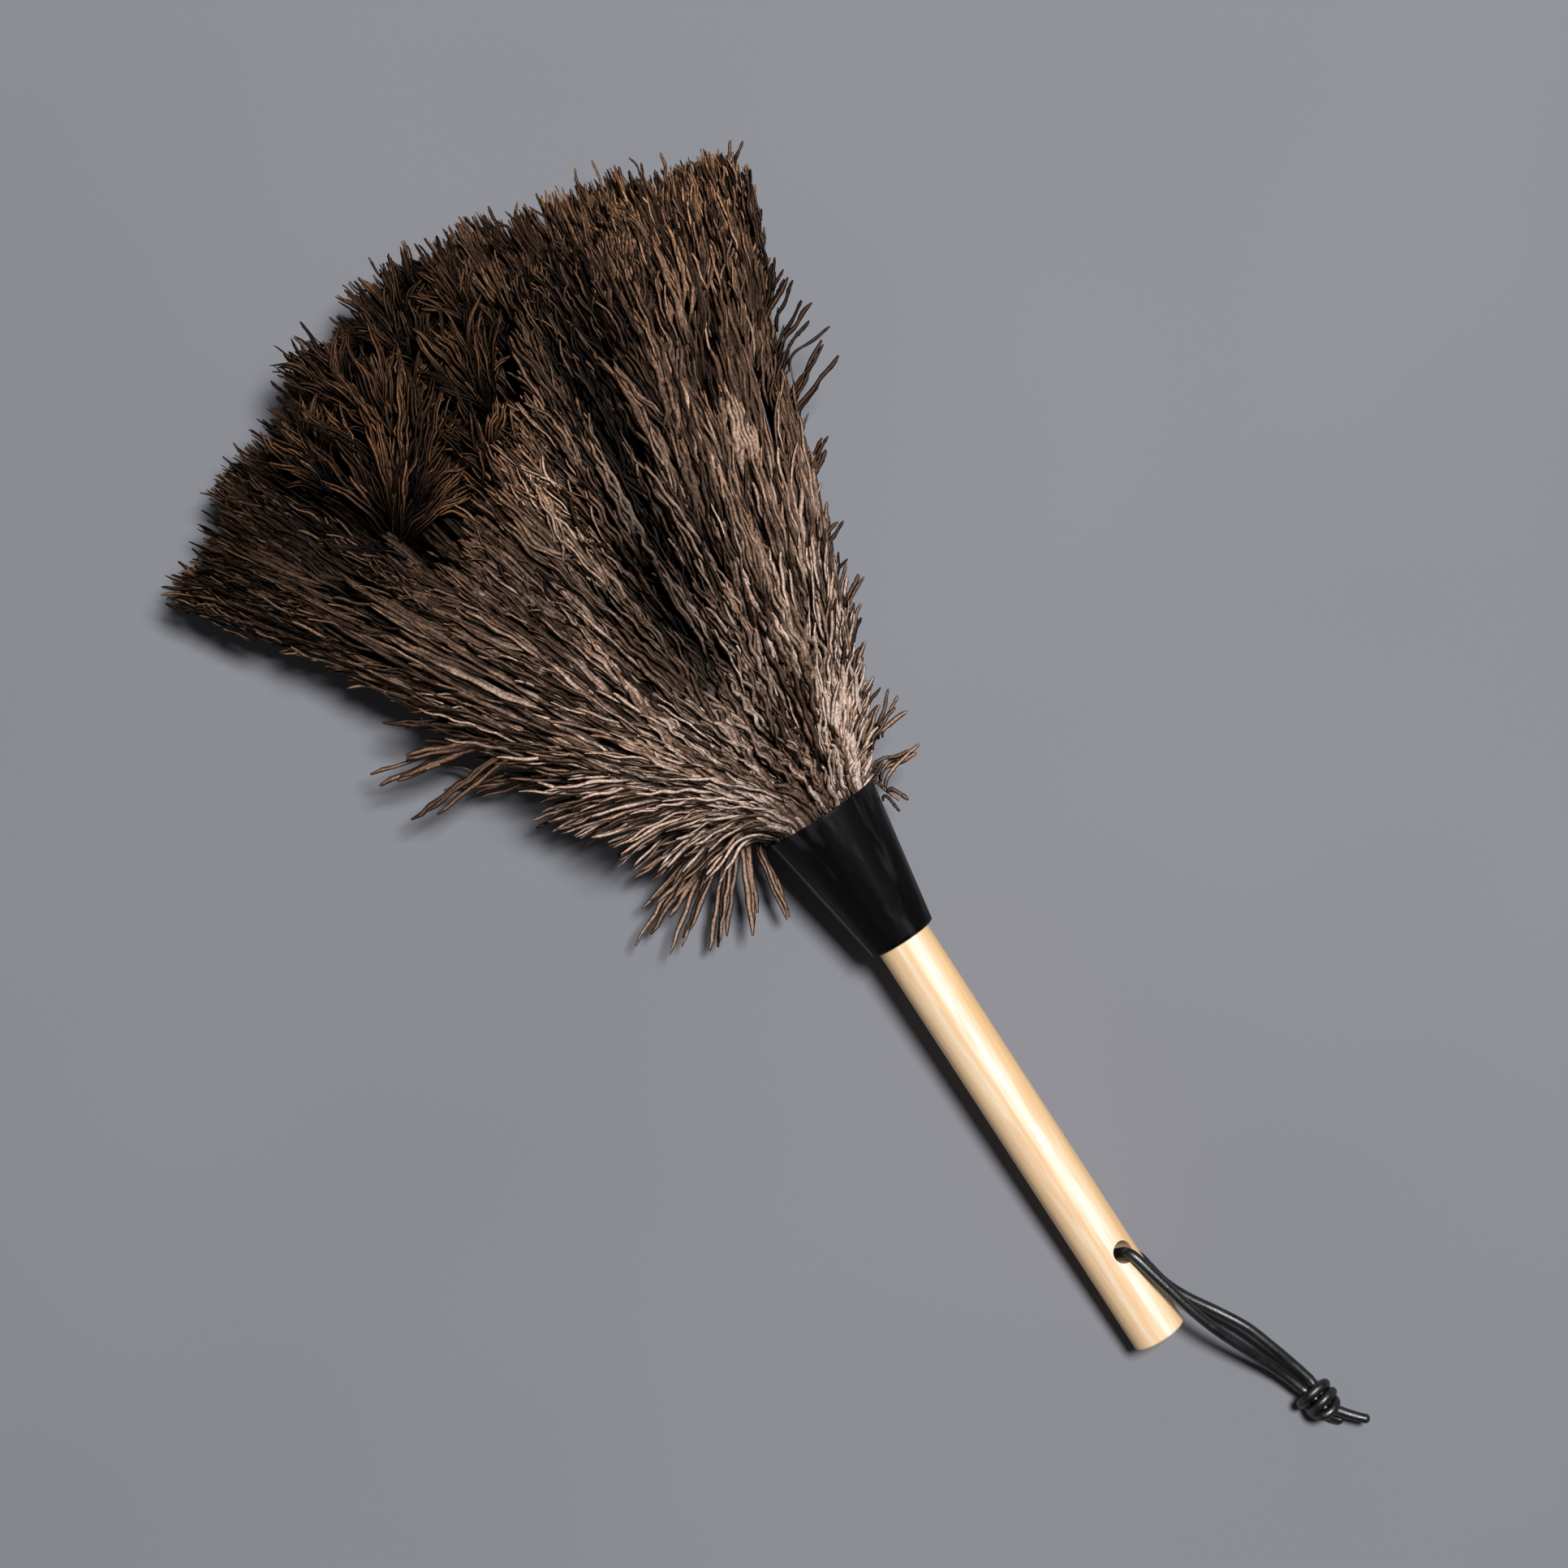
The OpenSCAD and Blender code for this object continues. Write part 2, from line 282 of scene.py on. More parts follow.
def barb_look(name):
    """Ostrich barbs: each strand has its own colour in the mesh, with painted shade and highlight in it,
    broken up finely by flecks of down.
    """
    look = Look(name, Roughness=0.60, Specular_IOR_Level=0.10)
    tint_with_shade = look.node("VertexColor", {"layer_name": "tint_with_shade"}).outputs["Color"]
    fleck = look.noise(look.place((1, 1, 1)), 900.0, 2, 0.6)
    shade = look.ramp(fleck, [(0.30, (168, 164, 160)), (0.62, (255, 255, 255))])
    look.set(Base_Color=look.mix(1.0, tint_with_shade, shade, "MULTIPLY"))
    return look.material


def shaft_look():
    """Horn of the feather shafts, brown and faintly streaked along them."""
    look = Look("feather_shaft", Roughness=0.42)
    along = look.noise(look.place((60, 400, 400)), 1.0, 2, 0.5)
    look.set(Base_Color=look.ramp(along, [(0.35, (52, 38, 29)), (0.65, (88, 68, 52))]))
    return look.material


def floor_look():
    look = Look("studio_floor", Roughness=0.9, Specular_IOR_Level=0.1)
    mottle = look.noise(look.place((1, 1, 1)), 3.0, 2, 0.5)
    look.set(Base_Color=look.ramp(mottle, [(0.3, (128, 129, 135)), (0.7, (133, 134, 140))]))
    return look.material


# ---------------------------------------------------------------- camera, light and floor

# The camera looks straight down. Its place, its turn, its height and the width that it sees, in metres
VIEW_AT = (0.003, -0.022)
VIEW_TURN = math.radians(-123)
VIEW_HEIGHT = 1.4
VIEW_WIDTH = 0.615
SENSOR_WIDTH = 36
# The side that the key light comes from, in plan
LIGHT_FROM = Vector((0.208, -0.978, 0)).normalized()
FLOOR_HALF = 8.0


def make_camera():
    data = bpy.data.cameras.new("camera")
    data.sensor_width = SENSOR_WIDTH
    data.lens = SENSOR_WIDTH * VIEW_HEIGHT / VIEW_WIDTH
    data.clip_end = 20
    camera = new_object("camera", data)
    camera.location = (*VIEW_AT, VIEW_HEIGHT)
    camera.rotation_euler = (0, 0, VIEW_TURN)
    bpy.context.scene.camera = camera


def make_light(name, elevation, distance, size, power, towards):
    """A round soft light that points at the duster from a side in plan and an elevation in degrees."""
    data = bpy.data.lights.new(name, "AREA")
    data.shape = "DISK"
    data.size = size
    data.energy = power
    lamp = new_object(name, data)
    rise = math.radians(elevation)
    way = Vector((towards.x * math.cos(rise), towards.y * math.cos(rise), math.sin(rise)))
    lamp.location = Vector((*VIEW_AT, 0)) + way * distance
    lamp.rotation_euler = way.to_track_quat("Z", "Y").to_euler()


def make_studio():
    make_light("key_light", elevation=73, distance=3.2, size=0.74, power=124, towards=LIGHT_FROM)
    make_light("fill_light", elevation=20, distance=1.8, size=1.0, power=1.4, towards=-LIGHT_FROM)
    world = bpy.data.worlds.new("studio")
    world.use_nodes = True
    background = world.node_tree.nodes["Background"]
    background.inputs["Color"].default_value = (0.93, 0.96, 1.0, 1)
    background.inputs["Strength"].default_value = 0.035
    bpy.context.scene.world = world
    bpy.context.scene.view_settings.view_transform = "Standard"
    mesh = bpy.data.meshes.new("floor")
    corners = [(x * FLOOR_HALF, y * FLOOR_HALF, 0) for x, y in ((-1, -1), (1, -1), (1, 1), (-1, 1))]
    mesh.from_pydata(corners, [], [(0, 1, 2, 3)])
    mesh.materials.append(floor_look())
    floor = new_object("floor", mesh)


# ---------------------------------------------------------------- the thong

ROUTE_STEPS = 6


def spline_through(route):
    """Points of the smooth line that part.scad draws through a route, at finer steps."""
    p = np.array([route[0], *route, route[-1]], float)
    line = []
    for a, b, c, d in zip(p, p[1:], p[2:], p[3:]):
        for k in range(ROUTE_STEPS):
            t = k / ROUTE_STEPS
            line.append(0.5 * (2 * b + (c - a) * t + (2 * a - 5 * b + 4 * c - d) * t**2
                               + (3 * b - a - 3 * c + d) * t**3))
    return np.array([*line, p[-1]])


def tube_curve(name, lines, radius, radii=None):
    """A curve object with one open round spline for each line of design-frame points."""
    data = bpy.data.curves.new(name, "CURVE")
    data.dimensions = "3D"
    data.bevel_depth = radius * MM
    data.bevel_resolution = 5
    data.use_fill_caps = True
    for line in lines:
        at = to_row(line)
        spline = data.splines.new("POLY")
        spline.points.add(len(at) - 1)
        spline.points.foreach_set("co", np.c_[at, np.ones(len(at))].ravel())
        spline.use_smooth = True
        if radii is not None:
            share = np.linspace(0, 1, len(at))
            spline.points.foreach_set("radius", np.interp(share, *zip(*radii)))
    return new_object(name, data)


def knot_frame(points):
    """Points along and across the knot, placed where the knot lies."""
    turn = math.radians(KNOT_TURN)
    c, s = math.cos(turn), math.sin(turn)
    x, y, z = np.asarray(points, float).T
    return np.c_[x * c - y * s, x * s + y * c, z] + KNOT_AT


def knot_lines():
    """The doubled overhand knot: two wraps round the strands that come in, and one that dives under them."""
    lines = []
    wraps = [(3.2, 5.9, 4.3, 1.6, -60), (-1.3, 5.2, 4.6, 1.0, -20)]
    for at, wide, high, tilt, start in wraps:
        turn = np.radians(np.linspace(start, start + 380, 52))
        x = at + tilt * np.sin(turn + 0.5) + 0.6 * np.linspace(0.5, -0.5, len(turn))
        lines.append(knot_frame(np.c_[x, wide * np.cos(turn) - 0.6, high * np.sin(turn) + 0.3]))
    routes = [
        [(10.5, 1.2, 0.2), (7.6, 0.8, 0.2), (3, 0.4, 0.6), (-3, 0.6, 0.9), (-7, 0.6, 0.9)],
        [(11, -3.9, 0.2), (7.7, -3.8, 0.2), (3.5, -2.9, 0.2), (-2, -2.0, -0.2), (-6, -1.2, -1.2)],
        [(2.5, 3.6, -3.6), (-1.5, 5.0, 0.6), (-4.3, 3.4, 3.6), (-5.6, -0.4, 3.6), (-5.2, -3.6, 0.8),
         (-3, -4, -2.6)],
    ]
    return lines + [knot_frame(spline_through(route)) for route in routes]


def make_thong():
    leather = thong_look()
    upper = spline_through(THONG_ROUTE[HOLE_MIDDLE::-1])
    lower = spline_through(THONG_ROUTE[HOLE_MIDDLE:])
    knot = tube_curve("thong_knot_wraps", knot_lines(), THONG_R * 0.98)
    tail_lines = [spline_through(tail) for tail in (LONG_TAIL, SHORT_TAIL)]
    tail_radii = [(0, 1), (0.6, 0.92), (0.9, 0.9), (1, 0.45)]
    tails = tube_curve("thong_tail_ends", tail_lines, THONG_R, tail_radii)
    strands = [tube_curve("thong_upper_strand", [upper], THONG_R),
               tube_curve("thong_lower_strand", [lower], THONG_R)]
    for piece in (*strands, knot, tails):
        piece.data.materials.append(leather)
        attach(piece, "hanging_thong")
    for piece in strands:
        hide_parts("thong")
    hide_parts("thong_knot")
    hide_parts("thong_tails")


# ---------------------------------------------------------------- handle, collar and bindings


def along_handle(points):
    """Points with x along the handle's axis from the butt, in the row frame in metres."""
    x, y, z = np.moveaxis(np.asarray(points, float) * MM, -1, 0)
    across = np.array([-HANDLE_AXIS[2], 0, HANDLE_AXIS[0]])
    return BUTT_AT + x[..., None] * HANDLE_AXIS + y[..., None] * [0, 1, 0] + z[..., None] * across


# The collar's lapped seam: its angle about the handle, half the width in degrees of the pale line painted
# along its edge as a rim highlight, its step
SEAM_ANGLE = 20
SEAM_HIGHLIGHT_HALF = 1.6
SEAM_LAP = 0.55
# How far the creased cloth stays inside its CAD solid, so that no crease stands out of it
CREASE_ROOM = 0.45
# How far the hem stays off the handle
HEM_GAP = 0.06
COLLAR_ROWS = 44
COLLAR_COLUMNS = 240


def collar_radius(x, angle):
    """The collar's outer radius, x from its narrow end: taper, soft lengthwise creases and lapped seam."""
    share = x / COLLAR_L
    radius = COLLAR_NARROW_R + (COLLAR_MOUTH_R - COLLAR_NARROW_R) * share
    crease = 0.16 * np.sin(7 * np.radians(angle) + 2.0 * share + 1)
    crease += 0.10 * np.sin(13 * np.radians(angle) - 3.5 * share)
    past = (angle - SEAM_ANGLE) % 360
    lap = SEAM_LAP * np.exp(-past / 11) + 0.25 * np.exp(-(360 - past) / 3)
    return radius + crease * np.sin(np.pi * share) ** 0.5 + lap - CREASE_ROOM


def ring_faces(rows, columns):
    """Quads between rings of points that close on themselves both ways."""
    return [(r * columns + c, r * columns + (c + 1) % columns,
             (r + 1) % rows * columns + (c + 1) % columns, (r + 1) % rows * columns + c)
            for r in range(rows) for c in range(columns)]


def make_collar():
    """A tapered sleeve of coated cloth with real thickness, rolled mouth, turned hem and lapped seam."""
    rows, columns = COLLAR_ROWS, COLLAR_COLUMNS
    angle = np.arange(columns) * 360 / columns
    edge_r = COLLAR_WALL / 2
    mouth = [(COLLAR_L - edge_r + edge_r * math.sin(b), -edge_r + edge_r * math.cos(b))
             for b in np.radians(np.linspace(15, 165, 7))]
    hem = [(edge_r - edge_r * math.sin(b), -edge_r + edge_r * math.cos(b))
           for b in np.radians(np.linspace(165, 115, 3))]
    outside = [(x, 0) for x in np.linspace(edge_r, COLLAR_L - edge_r, rows)]
    inside = [(x, -COLLAR_WALL) for x in np.linspace(COLLAR_L - edge_r, HEM_L, rows // 2)]
    on_handle = [(x, None) for x in (HEM_L - 0.2, HEM_L / 2, edge_r)]
    rings = []
    for x, out in [*outside, *mouth, *inside, *on_handle, *hem]:
        # The inner half of the hem's round edge lies on the handle too
        if out is None or (out <= -edge_r * 1.5 and x < HEM_L):
            radius = np.full(columns, HANDLE_R + HEM_GAP)
        else:
            radius = collar_radius(np.full(columns, x), angle) + out
        a = np.radians(angle)
        ring = np.c_[np.full(columns, GRIP_L + x), radius * np.cos(a), radius * np.sin(a)]
        rings.append(along_handle(ring))
    mesh = bpy.data.meshes.new("collar_sleeve")
    mesh.from_pydata(np.concatenate(rings).tolist(), [], ring_faces(len(rings), columns))
    mesh.materials.append(leathercloth_look())
    mesh.validate()
    mesh.shade_smooth()
    piece = new_object("collar_sleeve", mesh)
    # Marks the pale line painted along the seam's edge as a rim highlight
    edge = mesh.color_attributes.new("seam_rim_highlight", "FLOAT_COLOR", "POINT")
    near = np.tile(abs((angle - SEAM_ANGLE + 180) % 360 - 180) < SEAM_HIGHLIGHT_HALF, len(rings))
    near[:columns] = near[rows * columns:] = False
    edge.data.foreach_set("color", np.repeat(near.astype(np.float32), 4))
    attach(piece, "duster")
    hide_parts("collar")


def dress_cad_nodes():
    """Looks for the pieces that keep their shape from part.scad."""
    looks = {"handle": wood_look()}
    twine = twine_look()
    for ply in PLY_NAMES:
        looks[ply + "_binding"] = twine
    for name, material in looks.items():
        node = frame["nodes"][name]
        node.data.materials.clear()
        node.data.materials.append(material)


# ---------------------------------------------------------------- the feathers


def axis_z(x):
    """Height of the handle's axis above the floor, in millimetres."""
    return BUTT_AT[2] / MM + x * math.tan(PITCH)


def head_point(s, share, angle):
    """Points of the head: s along it from the collar's narrow end, share of its radius, angle about it."""
    a = np.radians(angle)
    in_bundle = np.stack([COLLAR_X + s, BUNDLE_R * share * np.cos(a),
                          axis_z(COLLAR_X + s) + BUNDLE_R * share * np.sin(a)], -1)
    turn = np.radians(lookup(s, FAN_TURN) + lookup(s, FAN_HALF) * share * np.cos(a))
    half = np.where(np.sin(a) > 0, lookup(s, RISE), lookup(s, DROP))
    in_fan = np.stack([COLLAR_X + s * np.cos(turn), s * np.sin(turn),
                       lookup(s, MID_Z) + half * share * np.sin(a)], -1)
    mix = smooth_step(s, COLLAR_L - 7, COLLAR_L + 8)[..., None]
    return in_bundle * (1 - mix) + in_fan * mix


def share_at(ply, s):
    """A ply's share of the head's radius: bound tight on the spigot, spread at the collar's mouth."""
    return lookup(s, [(SPREAD_FROM, PLY_R[ply] / BUNDLE_R), (COLLAR_L, PLY_SHARE[ply])])


def feather_end(ply, angle, i):
    """How far along the head a plume reaches, by its ply and side and a little scattered."""
    side = abs(math.cos(math.radians(angle)))
    scatter = END_SCATTER * math.sin(math.radians(i * SCATTER_TURN))
    return END_MID[ply] + (END_SIDE[ply] - END_MID[ply]) * side + scatter


# Patches of the head that are paler or darker: s, angle, their reaches, and how many times as pale. Some dark
# ones are painted shade
PATCHES = [
    (76, 150, 23, 26, 2.9),
    (112, 33, 48, 38, 1.95),
    (150, 90, 50, 24, 0.52),
    (268, 76, 46, 34, 0.38),
    (296, 28, 36, 36, 0.42),
    (215, 91, 44, 14, 1.95),
    (190, 146, 70, 20, 1.35),
    (300, 145, 44, 36, 1.48),
    (183, 105, 34, 14, 0.78),
    (97, 96, 24, 30, 0.84),
    (293, 36, 34, 14, 0.80),
    # Painted shadow beneath the curled-up tufts in the hollow
    (234, 56, 24, 10, 0.50),
    (198, 73, 22, 9, 0.55),
]
# The furrow between two groups of plumes on top: its angle against s, its half width in degrees, where it
# starts, how deep it is and how much darker
VALLEY = [(100, 88), (122, 91), (210, 104), (300, 118), (325, 120)]
VALLEY_REACH = 10
VALLEY_FROM = 105
VALLEY_DEPTH = 4.5
VALLEY_SHADE = 0.50

# Where the top plumes stop short and leave a hollow on the upper left of the head: s against the angle
HOLLOW_EDGE = [(40, 400), (50, 236), (58, 212), (70, 214), (85, 230), (97, 241), (104, 262), (112, 400)]

# Curled-up plume ends in the hollow: the feather, s, share of radius, angle, the heading of the middle
# strand in plan from +X towards +Y, half the fan, length, slope, how many locks and how pale
TUFTS = [
    ("outer_feather_03", 240, 0.76, 50, -42, 60, 60, 0.20, 80, 0.72),
    ("outer_feather_04", 260, 0.70, 66, -26, 60, 42, 0.24, 60, 0.62),
    ("outer_feather_05", 226, 0.80, 80, -24, 56, 25, 0.16, 46, 0.66),
    ("outer_feather_05", 250, 0.74, 90, -6, 44, 34, 0.16, 46, 0.50),
    ("outer_feather_03", 272, 0.70, 48, -2, 44, 33, 0.12, 54, 0.56),
    ("outer_feather_04", 284, 0.62, 64, 0, 44, 32, 0.16, 50, 0.40),
    ("outer_feather_05", 282, 0.66, 84, -8, 40, 30, 0.14, 46, 0.34),
    ("outer_feather_06", 278, 0.74, 99, 4, 28, 32, 0.10, 40, 0.46),
]

# How far the loose down near the collar turns away from the head, in degrees against s, on either side
LEFT_SPREAD = [(50, 96), (66, 76), (85, 60), (110, 42), (135, 26), (160, 16), (185, 5)]
RIGHT_SPREAD = [(50, 80), (70, 48), (95, 32), (130, 22), (160, 12), (190, 3)]
# The shortest and the longest of that down
LEFT_DOWN_L = (30, 50)
RIGHT_DOWN_L = (14, 28)

# How far inside the head the strands below are rooted, and how much longer they are for it
WISP_ROOT = 10
WISP_EXTRA = 9

# Strands that stand clear of the head: the feather, where they leave it in plan, height, final heading,
# length, slope, how many, their fan and how pale
WISPS = [
    ("outer_feather_02", 322, 69, 61, 57, 72, -0.36, 4, 1.4, 1.6),
    ("outer_feather_02", 320, 70, 58, 68, 64, -0.38, 3, 1.6, 1.4),
    ("outer_feather_01", 321, 70, 55, 78, 88, -0.36, 4, 1.2, 1.6),
    ("outer_feather_01", 319, 71, 53, 94, 72, -0.38, 4, 1.2, 1.7),
    ("outer_feather_01", 331, 86, 34, 50, 34, -0.20, 4, 5, 1.3),
    ("outer_feather_01", 328, 85, 30, 58, 42, -0.16, 6, 8, 1.2),
    ("outer_feather_01", 316, 84, 28, 68, 38, -0.22, 8, 10, 1.2),
    ("outer_feather_01", 401, 117, 24, 72, 28, -0.20, 4, 6, 1.0),
    ("outer_feather_01", 258, 29, 30, 90, 50, -0.22, 5, 4, 1.0),
    ("outer_feather_01", 253, 27, 30, 104, 60, -0.22, 4, 2, 1.1),
    ("outer_feather_01", 252, 27, 32, 116, 74, -0.24, 4, 1.6, 1.2),
    ("outer_feather_01", 251, 26, 30, 128, 70, -0.24, 4, 2, 1.1),
    ("outer_feather_01", 250, 26, 28, 136, 58, -0.22, 4, 3, 0.9),
    ("outer_feather_01", 249, 25, 28, 154, 50, -0.22, 4, 2.5, 0.9),
    ("outer_feather_01", 248, 24, 26, 168, 44, -0.20, 4, 3, 0.8),
    ("outer_feather_10", 416, -84, 44, -46, 24, 0.05, 5, 7, 0.5),
    ("outer_feather_10", 412, -87, 44, -70, 19, 0.03, 3, 6, 0.4),
    ("outer_feather_10", 401, -84, 38, -73, 20, 0.00, 4, 7, 0.4),
    ("outer_feather_10", 374, -69, 46, -64, 38, 0.02, 5, 5, 0.5),
    ("outer_feather_10", 360, -68, 40, -58, 12, 0.00, 5, 9, 0.7),
    ("outer_feather_10", 337, -57, 40, -56, 10, 0.02, 5, 9, 0.8),
    ("outer_feather_10", 314, -52, 38, -60, 10, 0.02, 5, 9, 0.8),
    ("outer_feather_09", 262, -33, 42, -62, 14, 0.10, 5, 9, 1.0),
    ("outer_feather_09", 250, -29, 44, -88, 18, 0.05, 5, 8, 1.0),
    ("outer_feather_10", 243, -27, 36, -165, 7, -0.05, 3, 9, 1.2),
]

# Colours of the barbs
GREY = np.array(linear((240, 214, 198))[:3])
UMBER = np.array(linear((130, 105, 89))[:3])
TAN = np.array(linear((210, 157, 117))[:3])
AMBER = np.array(linear((200, 144, 102))[:3])
BROWN = np.array(linear((110, 82, 64))[:3])
DARK = np.array(linear((33, 20, 13))[:3])

# Every strand has this many rings. Counts in threes are for the inner, the middle and the outer ply
STRAND_RINGS = 16
CLUMPS = [30, 44, 84]
STRANDS_IN_CLUMP = 6
STRANDS_IN_LOCK = 3
TIP_CLUMPS = [20, 26, 32]
# How far at most a sunken strand lies inside the surface, as a share of the head's radius
INSET = 0.28
# About where the outer plumes end
OUTER_END = 300.0
DOWN_STRANDS = [0, 0, 150]
EDGE_STRANDS = [0, 0, 60]
RIM_STRANDS = [50, 90, 190]
# The inner plies lie in the shade of the outer one
PLY_SHADE = [0.6, 0.8, 1.0]
# The places of the rings along a strand, 0 at its root and 1 at its tip
ALONG = np.linspace(0, 1, STRAND_RINGS)
UP = np.array([0.0, 0.0, 1.0])


def paleness_and_shade_at(s, angle):
    """How pale the plumage is at a place on the head, with painted shade in the furrow and in some patches.
    """
    gain = lookup(s, [(58, 1.22), (90, 1.45), (120, 1.42), (200, 1.04), (260, 0.75), (325, 0.84)])
    for at_s, at_angle, reach_s, reach_angle, by in PATCHES:
        off = (angle - at_angle + 180) % 360 - 180
        near = np.exp(-(((s - at_s) / reach_s) ** 2 + (off / reach_angle) ** 2))
        gain = gain * (1 + (by - 1) * near)
    return gain * (1 - VALLEY_SHADE * valley_at(s, angle))


def valley_at(s, angle):
    """1 along the furrow between two groups of plumes on top of the head, 0 away from it."""
    off = (angle - lookup(s, VALLEY) + 180) % 360 - 180
    return np.exp(-(off / VALLEY_REACH) ** 2) * smooth_step(s, VALLEY_FROM, VALLEY_FROM + 25)


class Feather:
    """One plume of a ply: where it sits, where it ends and its own stream of random numbers."""

    def __init__(self, ply, i):
        self.ply = ply
        self.name = f"{PLY_NAMES[ply]}_feather_{i:02d}"
        self.rng = np.random.default_rng(1000 * (ply + 1) + i)
        self.angle = PLY_PHASE[ply] + 360 * (i - 1) / PLY_COUNT[ply]
        self.sector = 180 / PLY_COUNT[ply]
        self.last = feather_end(ply, self.angle, i)
        self.up = max(math.sin(math.radians(self.angle)), 0)
        self.side = math.cos(math.radians(self.angle))

    def stop_at(self, reach):
        """Where the vane ends, at a share of its half width: rounded, and cut short round the hollow."""
        stop = self.last - 8 * np.minimum(abs(reach), 1.2) ** 2
        if self.ply == 2:
            edge = lookup((self.angle + self.sector * reach) % 360, HOLLOW_EDGE)
            stop = np.where(edge < stop, edge + self.rng.normal(0, 6, np.shape(reach)), stop)
        return stop


class Strands:
    """Centre lines, outward directions, colours with painted shade, and widths of many strands."""

    def __init__(self):
        self.parts = []

    def add(self, centre, outward, tints_with_shade, width):
        self.parts.append([np.broadcast_to(v, centre.shape) for v in (centre, outward, tints_with_shade)] + [width])

    def joined(self):
        return [np.concatenate(column) for column in zip(*self.parts)]


def head_strands(plume, strands, start, length, a_root, a_tip, root, level, tip, curl, wave, size, phase,
                 lean, tone, width, inset):
    """Strands that follow the head's surface and turn about it from the angle a_root to a_tip.

    They stand root, level and tip millimetres above it at their roots, beyond them and at their tips.
    inset moves a strand towards the middle of the head, as a share of its radius, and darkens it as painted
    shade.
    """
    start, length, a_root, a_tip, root, level, tip, wave, size, phase, lean, inset = (
        v[:, None] for v in (start, length, a_root, a_tip, root, level, tip, wave, size, phase, lean, inset))
    swing = (1 - np.exp(-3.0 * ALONG)) / (1 - math.exp(-3.0))
    s = start + length * ALONG
    angle = a_root + (a_tip - a_root) * swing
    rise = smooth_step(ALONG, 0, 0.32)
    height = root * (1 - rise) + level * rise + (tip - level) * ALONG ** curl
    in_mouth = smooth_step(s, COLLAR_L - 4, COLLAR_L + 26)
    height = height * (0.25 + 0.75 * in_mouth) - VALLEY_DEPTH * valley_at(s, angle) * (plume.ply == 2)
    share = share_at(plume.ply, s) - inset * in_mouth
    base = head_point(s, share, angle)
    outward = unit(head_point(s, share + 0.03, angle) - base)
    across, _ = across_and_up(base, outward)
    cycles = 2 * np.pi * length * ALONG / wave
    size = size * smooth_step(ALONG, 0, 0.2) * (0.3 + 0.7 * in_mouth)
    sideways = size * np.sin(cycles + phase) + lean * ALONG ** 2 * in_mouth
    lift = height + 0.6 * size * np.cos(0.83 * cycles + phase)
    centre = base + across * sideways[..., None] + outward * lift[..., None]
    # Strands that lie deeper inside get painted shade
    tints_with_shade = strand_tints_with_shade(plume.ply, tone, s, angle, height) * (1 - 2.2 * inset)[..., None]
    strands.add(centre, outward, broken(plume, tints_with_shade, start[:, 0]), width)


def broken(plume, tints_with_shade, start):
    """Down on the barbs breaks each strand into short pale and dark lengths, most of all near the collar."""
    grain = plume.rng.uniform(0, 1, tints_with_shade.shape[:2]) ** 0.8
    much = lookup(start, [(60, 0.85), (150, 0.6), (320, 0.45)])[:, None]
    return tints_with_shade * (1 + 0.25 * much - much * (1 - grain))[..., None]


def strand_tints_with_shade(ply, tone, s, angle, height):
    """Colour along every strand: greyer near the collar, browner outwards, tan at the tips, with painted
    shade at the roots, low down and inside.
    """
    gain = paleness_and_shade_at(s, angle)
    tone = np.minimum(tone[:, None] * np.maximum(gain, 1) ** 0.6, 1)
    grey = lookup(s, [(58, 1.0), (120, 0.9), (200, 0.55), (250, 0.22), (310, 0.0)])[..., None]
    pale = GREY * grey + TAN * (1 - grey)
    middling = UMBER * grey + BROWN * (1 - grey)
    low, high = np.clip(tone * 2, 0, 1)[..., None], np.clip(tone * 2 - 1, 0, 1)[..., None]
    colour = (DARK * (1 - low) + middling * low) * (1 - high) + pale * high
    tip = 0.55 * smooth_step(ALONG, 0.7, 1.0) * lookup(s, [(110, 0.1), (240, 1.0)])
    tip = tip * smooth_step(tone, 0.1, 0.5)
    colour = colour * (1 - tip[..., None]) + TAN * tip[..., None]
    # Painted shade: darker at the roots and where a strand lies low in the mass, times the place's paleness
    # and painted shade and the ply's shade
    shade = 0.35 + 0.65 * smooth_step(ALONG, 0.0, 0.3)
    shade = shade * (0.12 + 0.88 * smooth_step(height, -2.6, 2.0)) * gain * PLY_SHADE[ply]
    return colour * shade[..., None]


